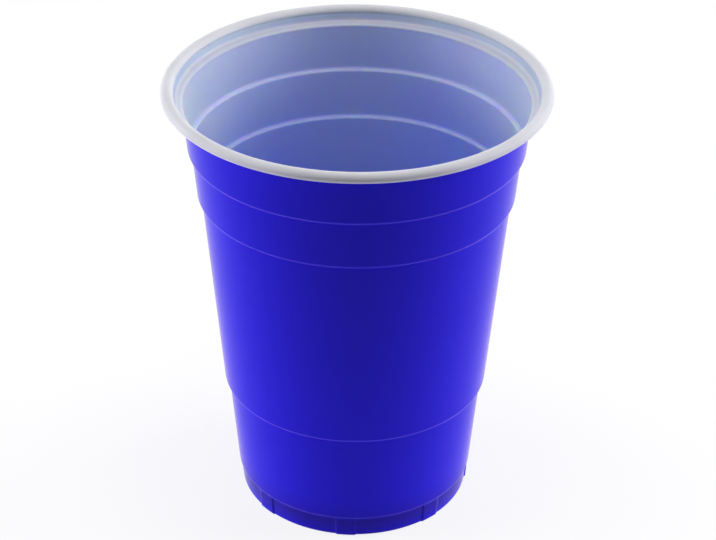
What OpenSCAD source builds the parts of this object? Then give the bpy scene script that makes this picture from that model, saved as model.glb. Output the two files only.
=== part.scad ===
// Party cup, formed in one piece from a thin two-colour sheet: blue outside, white inside.
// The axis of the cup is +Z and its foot stands on z = 0. All sizes are in millimetres.

/* [Cup] */
// Diameter over the rolled rim
rim_d = 95; // [88:0.1:104]
// Height from the table to the top of the rim
cup_h = 114.8; // [108:0.2:130]
// Diameter of the foot at the table
base_d = 59.5; // [54:0.1:66]
// Thickness of the formed sheet
wall = 0.4; // [0.25:0.05:0.6]

/* [Rim] */
// Width of the rolled rim, seen from above
roll_w = 3.05; // [2.4:0.05:4]
// Height of the rolled rim
roll_h = 2.5; // [2:0.1:3.2]
// Where the curl ends, as an angle round the roll from its outermost point
roll_end = -110; // [-125:5:-60]
// Width of the ledge between the wall and the neck under the rim
ledge_w = 2.3; // [1.6:0.1:3]
// Rise of the ledge over its width
ledge_rise = 1.2; // [0.6:0.1:1.6]
// Height from the lower edge of the ledge to the top of the rim
rim_h = 4.4; // [4:0.1:6]

/* [Steps] */
// Height of the top band, from the ledge down to the first step
top_band_h = 12; // [8:0.1:20]
// Height of the second band, down to the second step
second_band_h = 12.8; // [8:0.1:20]
// Height of the lowest step above the table
low_step_z = 32; // [20:0.1:60]
// How far the wall is set in at each step
step_d = 0.95; // [0.4:0.05:1]
// Radius of the rounded shoulder above each step
step_r = 1.3; // [1.2:0.1:4]

/* [Foot] */
// Height of the foot, up to the line where the wall begins
foot_h = 5.75; // [5:0.25:9]
// How far the foot is set in from the wall above it
foot_d = 0.4; // [0.2:0.05:0.8]
// Width of the ring that the cup stands on
ring_w = 3; // [2.6:0.1:5]
// Height of the bottom panel above the table
panel_rise = 3; // [2:0.25:4.5]
// How far the side of the raised panel leans in
panel_lean = 1; // [0.4:0.1:2]
// Radius on the tight side of the small bends in the sheet
bend_r = 0.4; // [0.3:0.05:0.8]

/* [Lugs] */
// Number of lugs pressed out round the foot
lug_count = 8; // [4:1:16]
// Width of a lug round the foot
lug_w = 5; // [3:0.25:8]
// How far a lug stands out of the foot
lug_d = 0.3; // [0.2:0.05:0.9]
// Height of a lug above the table
lug_h = 5.6; // [4:0.1:6.6]

/* [Hidden] */

$fn = 180;
blue = [0.11, 0.08, 0.72];
white = [0.86, 0.86, 0.88];
// Largest angle between two points of a rounded stretch
arc_step = 10;
// Radius of the crisp edge of the ledge
crisp_r = 0.15;

base_r = base_d / 2;
neck_r = rim_d / 2 - roll_w + wall;
ledge_r = neck_r - ledge_w;
ledge_z = cup_h - rim_h;
roll_c = [rim_d / 2 - roll_w / 2, cup_h - roll_h / 2];
// Half the width and height of the hollow inside the roll
hollow = [roll_w / 2 - wall, roll_h / 2 - wall];

// Heights of the corners where the wall steps out, from the foot up, and the depth of each step
first_step_z = ledge_z - top_band_h;
step_zs = [foot_h, low_step_z, first_step_z - second_band_h, first_step_z];
step_ds = [foot_d, step_d, step_d, step_d];

// One draft runs through every band from the foot to the ledge
slope = (ledge_r - base_r - sum(step_ds, len(step_ds))) / ledge_z;
draft = atan(slope);

// Sum of the first n numbers of a list
function sum(list, n) = n == 0 ? 0 : list[n - 1] + sum(list, n - 1);

// The list from its end to its start
function reverse(list) = [for (i = [len(list) - 1:-1:0]) list[i]];

// Unit vector from a to b
function dir(a, b) = (b - a) / norm(b - a);

// The vector v turned a quarter to the left
function left(v) = [-v.y, v.x];

// Points along an arc about c, between two angles
function arc(c, r, from, to) =
    let (n = ceil(abs(to - from) / arc_step))
    [for (i = [0:n]) let (a = from + (to - from) * i / n) c + r * [cos(a), sin(a)]];

// Arc of radius r that rounds corner b on the way from a to c
function bend(a, b, c, r) =
    let (
        u = dir(b, a),
        v = dir(b, c),
        half = acos(u * v) / 2,
        centre = b + dir([0, 0], u + v) * r / sin(half),
        start = b + u * r / tan(half) - centre,
        from = atan2(start.y, start.x),
        turn = (180 - 2 * half) * sign(cross(v, u))
    )
    arc(centre, r, from, from + turn);

// The path moved t to its left, with mitred corners
function inset(path, t) =
    let (last = len(path) - 1)
    [
        for (i = [0:last])
            let (
                before = left(dir(path[max(i, 1) - 1], path[max(i, 1)])),
                after = left(dir(path[min(i, last - 1)], path[min(i, last - 1) + 1]))
            )
            path[i] + t * (before + after) / (1 + before * after)
    ];

// Corner at the foot of step i, where the wall below ends
function step_corner(i) = [base_r + slope * step_zs[i] + sum(step_ds, i), step_zs[i]];

// Shoulder above step i: an arc that leaves the corner and runs out along the draft of the band above
function shoulder(i) =
    let (
        sweep = acos(1 - step_ds[i] * cos(draft) / step_r),
        start = -sweep - draft,
        c = step_corner(i) - step_r * [cos(start), sin(start)]
    )
    arc(c, step_r, start, -draft);

// Section of the sheet's outer face, from the middle of the bottom panel to the neck of the rim
panel = [0, panel_rise];
panel_edge = [base_r - ring_w - panel_lean, panel_rise];
ring_in = [base_r - ring_w, 0];
ring_out = [base_r, 0];
ledge_in = [ledge_r, ledge_z];
ledge_out = [neck_r, ledge_z + ledge_rise];
neck = [neck_r, roll_c.y];
skin = concat(
    [panel],
    bend(panel, panel_edge, ring_in, bend_r),
    bend(panel_edge, ring_in, ring_out, bend_r + wall),
    bend(ring_in, ring_out, step_corner(0), bend_r + wall),
    [for (i = [0:len(step_zs) - 1]) each shoulder(i)],
    bend(ledge_in - [slope, 1], ledge_in, ledge_out, crisp_r),
    bend(ledge_in, ledge_out, neck, bend_r + wall),
    [neck]
);

// Section of a lug's outer face, from inside the foot ring round to the top of the lug
lug_in = [base_r - ring_w / 2, 0];
lug_low = [base_r + lug_d, 0];
lug_top = [base_r + lug_d + slope * lug_h, lug_h];
lug_skin = concat(
    [lug_in],
    bend(lug_in, lug_low, lug_top, bend_r + wall),
    [lug_top, [lug_in.x, lug_h]]
);

// Section of the roll, t outside its hollow, from the neck over the top to the end of the curl
function roll(t) =
    let (n = ceil((180 - roll_end) / arc_step))
    [
        for (i = [0:n])
            let (
                a = 180 + (roll_end - 180) * i / n,
                normal = dir([0, 0], [cos(a) / hollow.x, sin(a) / hollow.y])
            )
            roll_c + [hollow.x * cos(a), hollow.y * sin(a)] + t * normal
    ];

// The cup as a solid block with its skin set in by t, up to the neck
module form(t) {
    edge = inset(skin, t);
    top = neck.y + t;
    rotate_extrude()
        polygon(concat(edge, [[neck.x - t, top], [0, top]]));
}

// The ring of lugs, with their skin set in by t
module lugs(t) {
    half = (lug_w / 2 - t) / base_r * 180 / PI;
    for (i = [0:lug_count - 1])
        rotate(i * 360 / lug_count - half)
            rotate_extrude(angle = 2 * half)
                polygon(inset(lug_skin, t));
}

// The rolled rim: the sheet curls outwards, so that its white face shows
module rim() {
    rotate_extrude()
        polygon(concat(roll(0), reverse(roll(wall))));
}

module cup() {
    difference() {
        color(blue) {
            form(0);
            lugs(0);
        }
        color(white) {
            form(wall);
            lugs(wall);
        }
    }
    color(white) rim();
}

cup();
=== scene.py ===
import math

import bpy
from mathutils import Matrix, Vector


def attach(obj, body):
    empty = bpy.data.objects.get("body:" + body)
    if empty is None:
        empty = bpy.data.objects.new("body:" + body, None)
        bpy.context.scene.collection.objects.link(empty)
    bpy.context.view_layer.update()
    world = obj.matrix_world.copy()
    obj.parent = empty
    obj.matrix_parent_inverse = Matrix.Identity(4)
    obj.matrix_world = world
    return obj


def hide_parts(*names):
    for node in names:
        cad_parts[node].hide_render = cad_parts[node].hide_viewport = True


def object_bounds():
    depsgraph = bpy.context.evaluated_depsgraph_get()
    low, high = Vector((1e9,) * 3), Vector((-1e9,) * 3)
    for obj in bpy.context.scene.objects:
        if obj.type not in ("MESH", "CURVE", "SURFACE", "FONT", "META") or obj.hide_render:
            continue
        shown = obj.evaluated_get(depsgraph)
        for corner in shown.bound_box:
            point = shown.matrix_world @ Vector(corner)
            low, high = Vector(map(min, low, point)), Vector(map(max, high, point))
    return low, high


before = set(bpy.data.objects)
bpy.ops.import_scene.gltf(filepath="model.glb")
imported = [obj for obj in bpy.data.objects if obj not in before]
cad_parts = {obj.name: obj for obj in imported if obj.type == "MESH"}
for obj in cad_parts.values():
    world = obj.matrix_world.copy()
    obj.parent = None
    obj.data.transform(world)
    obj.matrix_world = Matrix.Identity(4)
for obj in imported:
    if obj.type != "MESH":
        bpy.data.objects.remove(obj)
cadLow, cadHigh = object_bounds()
mm = 0.001
print("frame loaded, cup", round(cadHigh.z / mm, 2), "mm tall")

scene = bpy.context.scene
scene.view_settings.view_transform = "Standard"


# the cup's section, drawn as points of radius and height

cup = {
    "baseR": 29.75 * mm,        # foot at the table
    "wall": 0.4 * mm,           # thickness of the sheet
    "rollWidth": 3.05 * mm,
    "rollHeight": 2.5 * mm,
    "rollEnd": -110,            # degrees round the roll, 0 is outermost
    "lipRadius": 0.12 * mm,
    "ledgeWidth": 2.3 * mm,
    "ledgeRise": 1.2 * mm,
    "ledgeFlat": 1.55 * mm,     # from here out the ledge turns up into the leaning neck
    "ledgeTurn": 1 * mm,
    "neckDrop": 1.8 * mm,       # below the top, where the neck stands upright
    "neckTurn": 1.2 * mm,
    "rimHeight": 4.4 * mm,      # lower edge of the ledge to the top
    "topBand": 12 * mm,
    "secondBand": 12.8 * mm,
    "lowStep": 32 * mm,         # height of the lowest step
    "stepDepth": 0.95 * mm,
    "stepRadius": 1.3 * mm,
    "cornerRadius": 0.15 * mm,  # hollow corner under each step
    "footHeight": 5.75 * mm,
    "footDepth": 0.4 * mm,
    "ringWidth": 3 * mm,
    "panelRise": 3 * mm,
    "panelLean": 1 * mm,
    "bendRadius": 0.4 * mm,     # tight side of the small bends
    "lugs": 8,
    "lugWidth": 5 * mm,
    "lugDepth": 0.3 * mm,       # at the table
    "lugTop": 0.2 * mm,         # where it runs into the shoulder
    "lugSide": 0.45 * mm,       # width of the slope at a lug's side
    # columns of the mesh at a lug's side, in widths of the slope from its middle,
    # and between the lugs, in degrees from the middle of a lug
    "sideColumns": [-2.4, -1.3, -0.5, -0.25, 0, 0.25, 0.5, 1.3],
    "plainColumns": [1.25, 7.5, 9.3, 11.4, 13.6, 15.8, 18, 20.25],
    "arcStep": 11,              # degrees between points of a rounding
    "shoulderStep": 8,
    "closest": 0.05 * mm,       # points of a shoulder this low over its hollow corner are left out
    "shortest": 1.2 * mm,       # straight stretches up to this get no more rings
    "longest": 8 * mm,          # longest straight stretch without a ring
    "guard": 0.3 * mm,          # a ring this close to each end keeps a flat stretch flat
    "hair": 0.01 * mm,          # slack where the foot's rounding begins
}


def arcPoints(centre, radius, start, end, step):
    count = max(2, math.ceil(abs(end - start) / step))
    points = []
    for i in range(count + 1):
        a = math.radians(start + (end - start) * i / count)
        points.append(centre + radius * Vector((math.cos(a), math.sin(a))))
    return points


def roundOff(before, corner, after, radius):
    u = (before - corner).normalized()
    v = (after - corner).normalized()
    half = u.angle(v) / 2
    centre = corner + (u + v).normalized() * (radius / math.sin(half))
    first = corner + u * (radius / math.tan(half)) - centre
    start = math.degrees(math.atan2(first.y, first.x))
    turn = 180 - 2 * math.degrees(half)
    if v.cross(u) < 0:
        turn = -turn
    return arcPoints(centre, radius, start, start + turn, cup["arcStep"])


def moveLeft(path, distance):
    # the path set off to its left, with mitred corners
    def normal(a, b):
        d = (b - a).normalized()
        return Vector((-d.y, d.x))
    moved = []
    last = len(path) - 1
    for i, p in enumerate(path):
        k = max(i, 1)
        n = min(i, last - 1)
        before = normal(path[k - 1], path[k])
        after = normal(path[n], path[n + 1])
        moved.append(p + distance * (before + after) / (1 + before.dot(after)))
    return moved


def addRings(path):
    # more points on the long straight stretches
    dense = [path[0]]
    for a, b in zip(path, path[1:]):
        length = (b - a).length
        if length > cup["shortest"]:
            count = max(1, math.ceil(length / cup["longest"]))
            spots = [cup["guard"] / length]
            spots += [i / count for i in range(1, count)]
            spots.append(1 - cup["guard"] / length)
            dense += [a.lerp(b, t) for t in spots]
        dense.append(b)
    return dense


rimR = (cadHigh.x - cadLow.x) / 2
height = cadHigh.z
baseR = cup["baseR"]
wall = cup["wall"]
bend = cup["bendRadius"]
neckR = rimR - cup["rollWidth"] + wall
ledgeR = neckR - cup["ledgeWidth"]
ledgeZ = height - cup["rimHeight"]
rollCentre = Vector((rimR - cup["rollWidth"] / 2, height - cup["rollHeight"] / 2))

firstStep = ledgeZ - cup["topBand"]
stepZs = [cup["footHeight"], cup["lowStep"], firstStep - cup["secondBand"], firstStep]
stepDepths = [cup["footDepth"]] + [cup["stepDepth"]] * 3
slope = (ledgeR - baseR - sum(stepDepths)) / ledgeZ
draft = math.degrees(math.atan(slope))
wallRun = Vector((slope, 1)) * mm       # a short way up the wall


def stepCorner(i):
    return Vector((baseR + slope * stepZs[i] + sum(stepDepths[:i]), stepZs[i]))


def shoulder(i):
    # rounded shoulder above step i, with a small hollow corner at its foot
    r = cup["stepRadius"]
    sweep = math.degrees(math.acos(1 - stepDepths[i] * math.cos(math.radians(draft)) / r))
    start = -sweep - draft
    a = math.radians(start)
    corner = stepCorner(i)
    centre = corner - r * Vector((math.cos(a), math.sin(a)))
    curve = arcPoints(centre, r, start, -draft, cup["shoulderStep"])
    leaving = Vector((-math.sin(a), math.cos(a))) * mm
    hollow = roundOff(corner - wallRun, corner, corner + leaving, cup["cornerRadius"])
    return hollow + [p for p in curve if p.y > hollow[-1].y + cup["closest"]]


def rollCurve(out):
    # the roll's hollow, or its skin set out from that, from the neck over the top to the lip
    halfW = cup["rollWidth"] / 2 - wall
    halfH = cup["rollHeight"] / 2 - wall
    count = math.ceil((180 - cup["rollEnd"]) / cup["arcStep"])
    points = []
    for i in range(count + 1):
        a = math.radians(180 + (cup["rollEnd"] - 180) * i / count)
        spot = Vector((halfW * math.cos(a), halfH * math.sin(a)))
        normal = Vector((math.cos(a) / halfW, math.sin(a) / halfH)).normalized()
        points.append(rollCentre + spot + out * normal)
    return points


panelMiddle = Vector((0, cup["panelRise"]))
panelEdge = Vector((baseR - cup["ringWidth"] - cup["panelLean"], cup["panelRise"]))
ringIn = Vector((baseR - cup["ringWidth"], 0))
ringOut = Vector((baseR, 0))
ledgeIn = Vector((ledgeR, ledgeZ))
ledgeOut = ledgeIn + Vector((1, cup["ledgeRise"] / cup["ledgeWidth"])) * cup["ledgeFlat"]
neckTop = Vector((neckR, height - cup["neckDrop"]))
neck = Vector((neckR, rollCentre.y))

skin = [panelMiddle]
skin += roundOff(panelMiddle, panelEdge, ringIn, bend)
skin += roundOff(panelEdge, ringIn, ringOut, bend + wall)
skin += roundOff(ringIn, ringOut, stepCorner(0), bend + wall)
for i in range(len(stepZs)):
    skin += shoulder(i)
skin += roundOff(ledgeIn - wallRun, ledgeIn, ledgeOut, cup["cornerRadius"])
skin += roundOff(ledgeIn, ledgeOut, neckTop, cup["ledgeTurn"])
skin += roundOff(ledgeOut, neckTop, neck, cup["neckTurn"])
skin.append(neck)
skin = addRings(skin)
inside = moveLeft(skin, wall)


def lugShift(p):
    # how far a point of the skin moves out where a lug is pressed, up into the shoulder
    inward = p.x < baseR - bend - wall - cup["hair"]
    above = p.y > cup["footHeight"] + cup["stepRadius"]
    if inward or above:
        return 0
    if p.y < bend + wall:
        return cup["lugDepth"]
    deep = cup["lugDepth"] + (cup["lugTop"] - cup["lugDepth"]) * p.y / cup["footHeight"]
    return max(0, baseR + deep + slope * p.y - p.x)


shifts = [lugShift(p) for p in skin]
hollowRoll = rollCurve(0)
outerRoll = rollCurve(wall)
lip = roundOff(hollowRoll[-2], hollowRoll[-1], outerRoll[-1], cup["lipRadius"])
lip += roundOff(hollowRoll[-1], outerRoll[-1], outerRoll[-2], cup["lipRadius"])

section = list(zip(skin, shifts))
section += [(p, 0) for p in hollowRoll[1:-1]]
blueRows = len(section)
section += [(p, 0) for p in lip + outerRoll[-2::-1]]
rollRows = len(section)
section += list(zip(inside, shifts))[-2::-1]
print("section drawn,", len(section), "points")


# the sheet, turned round the axis with the lugs pressed out

finishes = {"blue": 0, "white": 1, "rim": 2}    # in the order of the material slots


def lugAngles():
    # columns round one lug, in degrees from its middle, closer together at its sides
    edge = math.degrees(cup["lugWidth"] / 2 / baseR)
    side = math.degrees(cup["lugSide"] / baseR)
    half = sorted([edge + side * t for t in cup["sideColumns"]] + cup["plainColumns"])
    return [-a for a in reversed(half)] + [0] + half + [180 / cup["lugs"]]


def lugMask(angle, inset):
    # 1 on a lug and 0 beside it, eased over the slope at its side
    away = (cup["lugWidth"] / 2 - inset - abs(math.radians(angle)) * baseR) / cup["lugSide"]
    t = min(1, max(0, away + 0.5))
    return t * t * (3 - 2 * t)


def sectionNormal(i):
    # square to the section at point i, the longer neighbour counting more
    before = section[i][0] - section[i - 1][0]
    after = section[i + 1][0] - section[i][0]
    along = before + after
    return Vector((along.y, -along.x)).normalized()


def turnSection(name):
    columns = []
    for i in range(cup["lugs"]):
        middle = i * 360 / cup["lugs"]
        for a in lugAngles():
            columns.append((math.radians(middle + a), lugMask(a, 0), lugMask(a, wall)))
    across = len(columns)
    rows = section[1:-1]
    verts = []
    for k, (p, shift) in enumerate(rows):
        for a, outerMask, innerMask in columns:
            r = p.x + shift * (outerMask if k < blueRows else innerMask)
            verts.append((r * math.cos(a), r * math.sin(a), p.y))
    faces = []
    paint = []
    for k in range(len(rows) - 1):
        end = k + 2                 # point of the section where this row of faces ends
        finish = finishes["white"]
        if end < blueRows:
            finish = finishes["blue"]
        elif end < rollRows:
            finish = finishes["rim"]
        for c in range(across):
            d = (c + 1) % across
            low = k * across
            faces.append((low + c, low + d, low + across + d, low + across + c))
            paint.append(finish)
    # the two sides of the bottom panel close on a point
    under = len(verts)
    over = under + 1
    verts += [(0, 0, section[0][0].y), (0, 0, section[-1][0].y)]
    last = (len(rows) - 1) * across
    for c in range(across):
        d = (c + 1) % across
        faces += [(under, d, c), (over, last + c, last + d)]
        paint += [finishes["blue"], finishes["white"]]
    mesh = bpy.data.meshes.new(name)
    mesh.from_pydata(verts, [], faces)
    mesh.polygons.foreach_set("material_index", paint)
    mesh.polygons.foreach_set("use_smooth", [True] * len(faces))
    mesh.update()
    # exact normals wherever no lug is pressed, so that uneven columns leave no lines
    normals = [v.normal.copy() for v in mesh.vertices]
    for k in range(1, len(rows) - 1):
        if any(shift for p, shift in rows[k - 1:k + 2]):
            continue
        n = sectionNormal(k + 1)
        for c, (a, outerMask, innerMask) in enumerate(columns):
            normals[k * across + c] = Vector((n.x * math.cos(a), n.x * math.sin(a), n.y))
    mesh.normals_split_custom_set_from_vertices(normals)
    made = bpy.data.objects.new(name, mesh)
    scene.collection.objects.link(made)
    return made


cupSheet = turnSection("cupSheet")
print("sheet turned,", len(cupSheet.data.polygons), "faces")


# node helpers

noiseSpan = (0.3, 0.7)          # nearly all values of a noise lie in here


def newMaterial(name):
    made = bpy.data.materials.new(name)
    made.use_nodes = True
    return made, made.node_tree, made.node_tree.nodes["Principled BSDF"]


def addNode(tree, kind, inputs=None, **settings):
    made = tree.nodes.new(kind)
    for name, value in settings.items():
        setattr(made, name, value)
    for name, value in (inputs or {}).items():
        if isinstance(value, bpy.types.NodeSocket):
            tree.links.new(value, made.inputs[name])
        else:
            made.inputs[name].default_value = value
    return made


def vectorMath(tree, operation, inputs):
    return addNode(tree, "ShaderNodeVectorMath", inputs, operation=operation).outputs[0]


def mixShaders(tree, share, first, second):
    return addNode(tree, "ShaderNodeMixShader", {
        0: share, 1: first.outputs[0], 2: second.outputs[0]})


def mapRange(tree, value, fromLow, fromHigh, toLow, toHigh):
    made = addNode(tree, "ShaderNodeMapRange", {
        "Value": value, "From Min": fromLow, "From Max": fromHigh, "To Min": toLow, "To Max": toHigh})
    return made.outputs[0]


def addNoise(tree, spot, scale, detail):
    made = addNode(tree, "ShaderNodeTexNoise", {"Vector": spot, "Scale": scale, "Detail": detail})
    return made.outputs["Fac"]


def spread(tree, noise, ends):
    # a noise laid out between two ends
    return mapRange(tree, noise, *noiseSpan, *ends)


def addBump(tree, bumps, distance, normal):
    made = addNode(tree, "ShaderNodeBump", {"Height": bumps, "Distance": distance})
    if normal:
        tree.links.new(normal, made.inputs["Normal"])
    return made.outputs[0]


def heightOn(tree, coords):
    return addNode(tree, "ShaderNodeSeparateXYZ", {0: coords}).outputs[2]


def heightRamp(tree, coords, levels):
    # a colour for each height on the cup
    share = mapRange(tree, heightOn(tree, coords), 0, height, 0, 1)
    ramp = addNode(tree, "ShaderNodeValToRGB", {0: share})
    stops = ramp.color_ramp.elements
    for i, (z, colour) in enumerate(sorted(levels, key=lambda level: level[0])):
        stop = stops[i] if i < 2 else stops.new(1)      # a new ramp has two stops
        stop.position = z / height
        stop.color = colour
    return ramp.outputs[0]


def stepHighlightLevels(z, plastic, tone):
    # four heights that lay a painted highlight, a paler line, over the step at height z
    pale = [c * gain for c, gain in zip(tone, plastic["stepHighlightGain"])] + [1]
    tones = (tone, pale, pale, tone)
    return [(z + reach, colour) for reach, colour in zip(plastic["stepHighlightReach"], tones)]


def shaded(tree, colour, shade):
    # the colour times a grey, which go in at sockets 6 and 7
    grey = addNode(tree, "ShaderNodeCombineColor", {0: shade, 1: shade, 2: shade}).outputs[0]
    made = addNode(tree, "ShaderNodeMix", {0: 1, 6: colour, 7: grey},
                   data_type="RGBA", blend_type="MULTIPLY")
    return made.outputs[2]


def drawLines(tree, coords, plastic):
    # noise pulled out into streaks that run up the wall, as forming leaves them
    split = addNode(tree, "ShaderNodeSeparateXYZ", {0: coords}).outputs
    flat = addNode(tree, "ShaderNodeCombineXYZ", {0: split[0], 1: split[1]}).outputs[0]
    turn = vectorMath(tree, "NORMALIZE", {0: flat})
    wide = vectorMath(tree, "SCALE", {0: turn, "Scale": plastic["linesAround"]})
    up = addNode(tree, "ShaderNodeMath", {0: split[2], 1: plastic["linesAlong"]}, operation="MULTIPLY")
    tall = addNode(tree, "ShaderNodeCombineXYZ", {2: up.outputs[0]}).outputs[0]
    return addNoise(tree, vectorMath(tree, "ADD", {0: wide, 1: tall}), scale=1, detail=3)


def layFinish(tree, shader, plastic, tone, mottle, bumps):
    # the mottle varies colour and gloss a little, and the bumps are laid one over the other
    shader.inputs["Specular IOR Level"].default_value = plastic["specular"]
    tone = shaded(tree, tone, spread(tree, mottle, plastic["shade"]))
    tree.links.new(tone, shader.inputs["Base Color"])
    tree.links.new(spread(tree, mottle, plastic["rough"]), shader.inputs["Roughness"])
    normal = None
    for noise, distance in bumps:
        normal = addBump(tree, noise, distance, normal)
    tree.links.new(normal, shader.inputs["Normal"])


# blue outer face of the sheet

bluePlastic = {
    "full": (0.0230, 0.0120, 0.90, 1),
    "paintedFootShade": [              # height and share of the blue: painted shade in the foot under its shoulder, and painted light at its lower edge
        (0, 1.1),
        (1 * mm, 1.02),
        (2 * mm, 0.80),
        (5 * mm, 0.54),
        (5.8 * mm, 0.82),
        (7 * mm, 0.86),
        (9 * mm, 0.92),
        (12 * mm, 1.0),
    ],
    "stepHighlightGain": (2.05, 2.8, 1.11),         # painted highlight: a paler line along each step, standing in for light caught by the shoulder
    "stepHighlightReach": (0.1 * mm, 0.3 * mm, 0.7 * mm, 1.0 * mm),
    "shade": (0.96, 1.0),       # how much the clouds darken it
    "specular": 0.055,
    "sheen": 0.27,              # soft glare where it is seen at a low angle
    "sheenRough": 0.3,
    "sheenTint": (1, 0.1, 1, 1),
    "rough": (0.05, 0.075),
    "cloudScale": 45,
    "linesAround": 38,
    "linesAlong": 9,
    "lineHeight": 0.0001 * mm,
    "peelScale": 420,           # faint orange peel, bumps per metre
    "peelHeight": 0.003 * mm,
}


def makeBlue():
    made, tree, shader = newMaterial("bluePlastic")
    shader.inputs["Sheen Weight"].default_value = bluePlastic["sheen"]
    shader.inputs["Sheen Roughness"].default_value = bluePlastic["sheenRough"]
    shader.inputs["Sheen Tint"].default_value = bluePlastic["sheenTint"]
    coords = addNode(tree, "ShaderNodeTexCoord").outputs["Object"]
    lines = drawLines(tree, coords, bluePlastic)
    cloud = addNoise(tree, coords, bluePlastic["cloudScale"], detail=2)
    peel = addNoise(tree, coords, bluePlastic["peelScale"], detail=1)
    full = bluePlastic["full"]
    # painted shade in the foot and painted light along its lower edge
    levels = [(z, (full[0], full[1], full[2] * share, 1)) for z, share in bluePlastic["paintedFootShade"]]
    # painted highlight along each of the three upper steps
    for z in stepZs[1:]:
        levels += stepHighlightLevels(z, bluePlastic, full)
    tone = heightRamp(tree, coords, levels)
    bumps = [(lines, bluePlastic["lineHeight"]), (peel, bluePlastic["peelHeight"])]
    layFinish(tree, shader, bluePlastic, tone, cloud, bumps)
    return made


# white inner face, which lets more of the blue through where it was drawn deeper, with painted shade
# and painted highlights in its tones

whitePlastic = {
    "depths": [                 # height on the cup and the colour there, from the floor to the neck; darker further down as painted shade
        (4 * mm, (0.62, 0.63, 1.0, 1)),
        (7 * mm, (0.36, 0.42, 0.60, 1)),
        # the lower wall darker than near the top as painted shade deep in the cup, and bluer where the
        # white was drawn thinner
        (14 * mm, (0.29, 0.36, 0.52, 1)),
        (50 * mm, (0.29, 0.36, 0.52, 1)),
        (85.5 * mm, (0.445, 0.535, 0.58, 1)),
        (98.3 * mm, (0.525, 0.605, 0.585, 1)),
        (109.6 * mm, (0.55, 0.625, 0.585, 1)),
        # on the ledge: painted shade in a dark band, then a painted highlight line
        (110.55 * mm, (0.53, 0.56, 0.60, 1)),
        (110.75 * mm, (0.53, 0.56, 0.60, 1)),
        (110.95 * mm, (0.455, 0.465, 0.51, 1)),
        (111.3 * mm, (0.455, 0.465, 0.51, 1)),
        (111.42 * mm, (0.59, 0.61, 0.63, 1)),
        (111.62 * mm, (0.59, 0.61, 0.63, 1)),
        # the neck under the roll, darker and bluer as painted shade
        (111.85 * mm, (0.44, 0.515, 0.66, 1)),
        (112.8 * mm, (0.44, 0.515, 0.66, 1)),
        (113.4 * mm, (0.58, 0.67, 0.84, 1)),
    ],
    "bends": (4, 5),            # places in that list of the tones at the two upper steps
    # painted highlight: a bluer line on the inner ledge of each upper step
    "stepHighlightGain": (1.02, 0.93, 1.15),
    "stepHighlightReach": (0.1 * mm, 0.4 * mm, 0.8 * mm, 1.1 * mm),
    "shade": (0.985, 1.0),      # how much the streaks darken it
    # share of the light that wanders through the sheet, below the ledge and above it
    "through": (1, 0.45),
    "throughTop": (109.8 * mm, 110.5 * mm),     # the one runs into the other between these heights
    "throughReach": (0.02, 0.06, 2.15),         # how far red, green and blue wander, in mm
    "specular": 0.1,
    "rough": (0.34, 0.40),
    "linesAround": 30,
    "linesAlong": 7,
    "lineHeight": 0.0001 * mm,
    "peelScale": 420,
    "peelHeight": 0.003 * mm,
}


def makeWhite():
    made, tree, shader = newMaterial("whitePlastic")
    shader.inputs["Subsurface Radius"].default_value = whitePlastic["throughReach"]
    shader.inputs["Subsurface Scale"].default_value = mm
    coords = addNode(tree, "ShaderNodeTexCoord").outputs["Object"]
    lines = drawLines(tree, coords, whitePlastic)
    peel = addNoise(tree, coords, whitePlastic["peelScale"], detail=1)
    z = heightOn(tree, coords)
    through = mapRange(tree, z, *whitePlastic["throughTop"], *whitePlastic["through"])
    tree.links.new(through, shader.inputs["Subsurface Weight"])
    # tones by height, with painted shade deep in the cup and painted light and shade at the ledge and
    # neck
    levels = list(whitePlastic["depths"])
    # painted highlight along the inner ledges of the two upper steps
    for step, place in zip(stepZs[2:], whitePlastic["bends"]):
        levels += stepHighlightLevels(step, whitePlastic, whitePlastic["depths"][place][1])
    tone = heightRamp(tree, coords, levels)
    bumps = [(lines, whitePlastic["lineHeight"]), (peel, whitePlastic["peelHeight"])]
    layFinish(tree, shader, whitePlastic, tone, lines, bumps)
    return made


# the rim was never drawn thin, so it stays one white, with painted light on the lower part of the roll

rimPlastic = {
    "lip": (0.88, 0.85, 1.0, 1),           # the thin lip picks up the blue behind it, and is painted lighter as well, as painted light from below
    "lipLightReach": (1.5 * mm, 0.6 * mm),      # it runs into the full tone between these, below the top
    "full": (0.68, 0.68, 0.735, 1),
    "shade": (0.92, 1.0),
    "specular": 0.02,
    "rough": (0.40, 0.48),
    "cloudScale": 90,
    "peelScale": 500,
    "peelHeight": 0.003 * mm,
}


def makeRim():
    made, tree, shader = newMaterial("rimPlastic")
    coords = addNode(tree, "ShaderNodeTexCoord").outputs["Object"]
    cloud = addNoise(tree, coords, rimPlastic["cloudScale"], detail=2)
    peel = addNoise(tree, coords, rimPlastic["peelScale"], detail=1)
    # painted light on the lower part of the roll, fading into the full tone towards the top
    lipEnd, fullStart = rimPlastic["lipLightReach"]
    levels = [(height - lipEnd, rimPlastic["lip"]), (height - fullStart, rimPlastic["full"])]
    tone = heightRamp(tree, coords, levels)
    layFinish(tree, shader, rimPlastic, tone, cloud, [(peel, rimPlastic["peelHeight"])])
    return made


for make in (makeBlue, makeWhite, makeRim):
    cupSheet.data.materials.append(make())
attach(cupSheet, "root")
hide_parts("cup")
print("cup finished")


# table and lights

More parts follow.
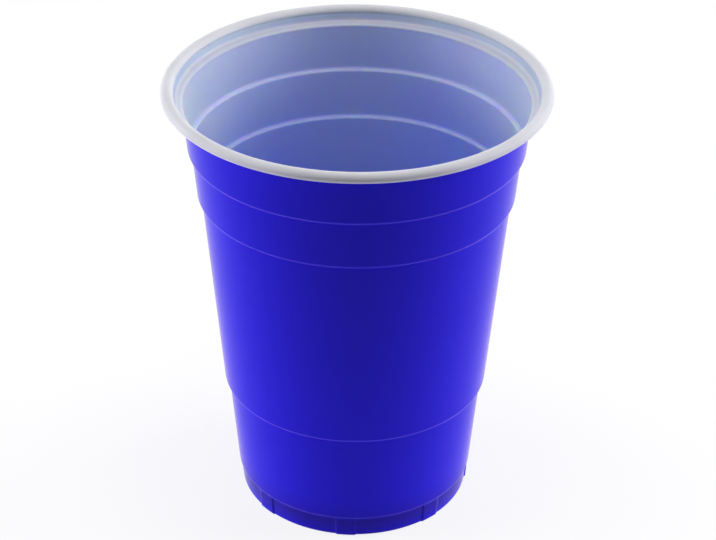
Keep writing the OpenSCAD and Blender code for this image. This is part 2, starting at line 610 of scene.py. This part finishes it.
studio = {
    "tableSize": 3.0,
    "tableSeen": (0.96, 0.96, 0.96, 1),
    "tableGlow": 0.84,          # share of what is seen of it that is plain white
    "bounce": (0.77, 0.33),     # light that comes back off it, near the cup and away from it
    "bounceReach": (0.10, 0.30),
    "sky": (1, 1, 1, 1),
    "skyLight": 0.06,
    # azimuth from the front, elevation, distance, width, height, watts
    "lamps": {
        "leftBox": (-93, 12.5, 0.75, 0.5, 0.4, 4.75),
        "rightBox": (105, 20, 0.75, 0.5, 0.4, 4.85),
        "topBox": (0, 90, 0.9, 0.6, 0.6, 4.95),
        "backBox": (180, 12, 0.9, 0.6, 0.35, 1.2),
    },
    "aim": 0.06,                # height that the lamps look at
}


def sightRay(tree):
    # 1 for what the camera sees, directly or in a gloss or through a clear piece
    path = addNode(tree, "ShaderNodeLightPath")
    sight = addNode(tree, "ShaderNodeMath", {
        0: path.outputs["Is Camera Ray"], 1: path.outputs["Is Glossy Ray"]}, operation="MAXIMUM")
    sight = addNode(tree, "ShaderNodeMath", {
        0: sight.outputs[0], 1: path.outputs["Is Transmission Ray"]}, operation="MAXIMUM")
    return sight.outputs[0]


def makeTable():
    half = studio["tableSize"] / 2
    mesh = bpy.data.meshes.new("table")
    corners = [(-half, -half, 0), (half, -half, 0), (half, half, 0), (-half, half, 0)]
    mesh.from_pydata(corners, [], [(0, 1, 2, 3)])
    made = bpy.data.objects.new("table", mesh)
    scene.collection.objects.link(made)
    # the camera and reflections see it white, and less light comes back off it
    finish = bpy.data.materials.new("tableTop")
    finish.use_nodes = True
    tree = finish.node_tree
    tree.nodes.remove(tree.nodes["Principled BSDF"])
    white = addNode(tree, "ShaderNodeEmission", {"Color": studio["sky"], "Strength": 1})
    lit = addNode(tree, "ShaderNodeBsdfDiffuse", {"Color": studio["tableSeen"]})
    seen = mixShaders(tree, studio["tableGlow"], lit, white)
    coords = addNode(tree, "ShaderNodeTexCoord").outputs["Object"]
    away = addNode(tree, "ShaderNodeVectorMath", {0: coords}, operation="LENGTH").outputs["Value"]
    grey = mapRange(tree, away, *studio["bounceReach"], *studio["bounce"])
    bounce = addNode(tree, "ShaderNodeBsdfDiffuse", {"Color": grey})
    both = mixShaders(tree, sightRay(tree), bounce, seen)
    tree.links.new(both.outputs[0], tree.nodes["Material Output"].inputs["Surface"])
    mesh.materials.append(finish)


def makeSky():
    world = bpy.data.worlds.new("studioSky")
    world.use_nodes = True
    scene.world = world
    tree = world.node_tree
    dim = tree.nodes["Background"]
    dim.inputs["Color"].default_value = studio["sky"]
    dim.inputs["Strength"].default_value = studio["skyLight"]
    seen = addNode(tree, "ShaderNodeBackground", {"Color": studio["sky"], "Strength": 1})
    both = mixShaders(tree, sightRay(tree), dim, seen)
    tree.links.new(both.outputs[0], tree.nodes["World Output"].inputs["Surface"])


def direction(azimuth, elevation):
    # from the cup outwards, 0 is to the front
    a = math.radians(azimuth)
    e = math.radians(elevation)
    return Vector((math.sin(a) * math.cos(e), -math.cos(a) * math.cos(e), math.sin(e)))


def makeLamp(name, azimuth, elevation, distance, width, tall, watts):
    lamp = bpy.data.lights.new(name, "AREA")
    lamp.shape = "RECTANGLE"
    lamp.size = width
    lamp.size_y = tall
    lamp.energy = watts
    made = bpy.data.objects.new(name, lamp)
    scene.collection.objects.link(made)
    back = direction(azimuth, elevation)
    made.location = Vector((0, 0, studio["aim"])) + back * distance
    made.rotation_euler = back.to_track_quat("Z", "Y").to_euler()
    made.visible_camera = False


makeTable()
makeSky()
for name, spec in studio["lamps"].items():
    makeLamp(name, *spec)
print("table and lights set")


# camera, at the photograph's viewing angle

shot = {
    "azimuth": 3.75,            # the front lug sits a little to the left
    "elevation": 31.097,
    "distance": 524.25 * mm,
    "aimHeight": 61.908 * mm,
    "aimAside": 0.572 * mm,
    "tilt": 0.544,
    "lens": 103.58,
    "sensor": 36,
    "near": 10 * mm,
}


def makeCamera():
    data = bpy.data.cameras.new("shot")
    data.lens = shot["lens"]
    data.sensor_width = shot["sensor"]
    data.clip_start = shot["near"]
    made = bpy.data.objects.new("shot", data)
    scene.collection.objects.link(made)
    back = direction(shot["azimuth"], shot["elevation"])
    right = direction(shot["azimuth"] + 90, 0)
    up = back.cross(right)
    t = math.radians(shot["tilt"])
    side = math.cos(t) * right + math.sin(t) * up
    aim = right * shot["aimAside"] + Vector((0, 0, shot["aimHeight"]))
    turn = Matrix((side, back.cross(side), back)).transposed()
    made.matrix_world = Matrix.Translation(aim + back * shot["distance"]) @ turn.to_4x4()
    scene.camera = made


makeCamera()
print("camera set")
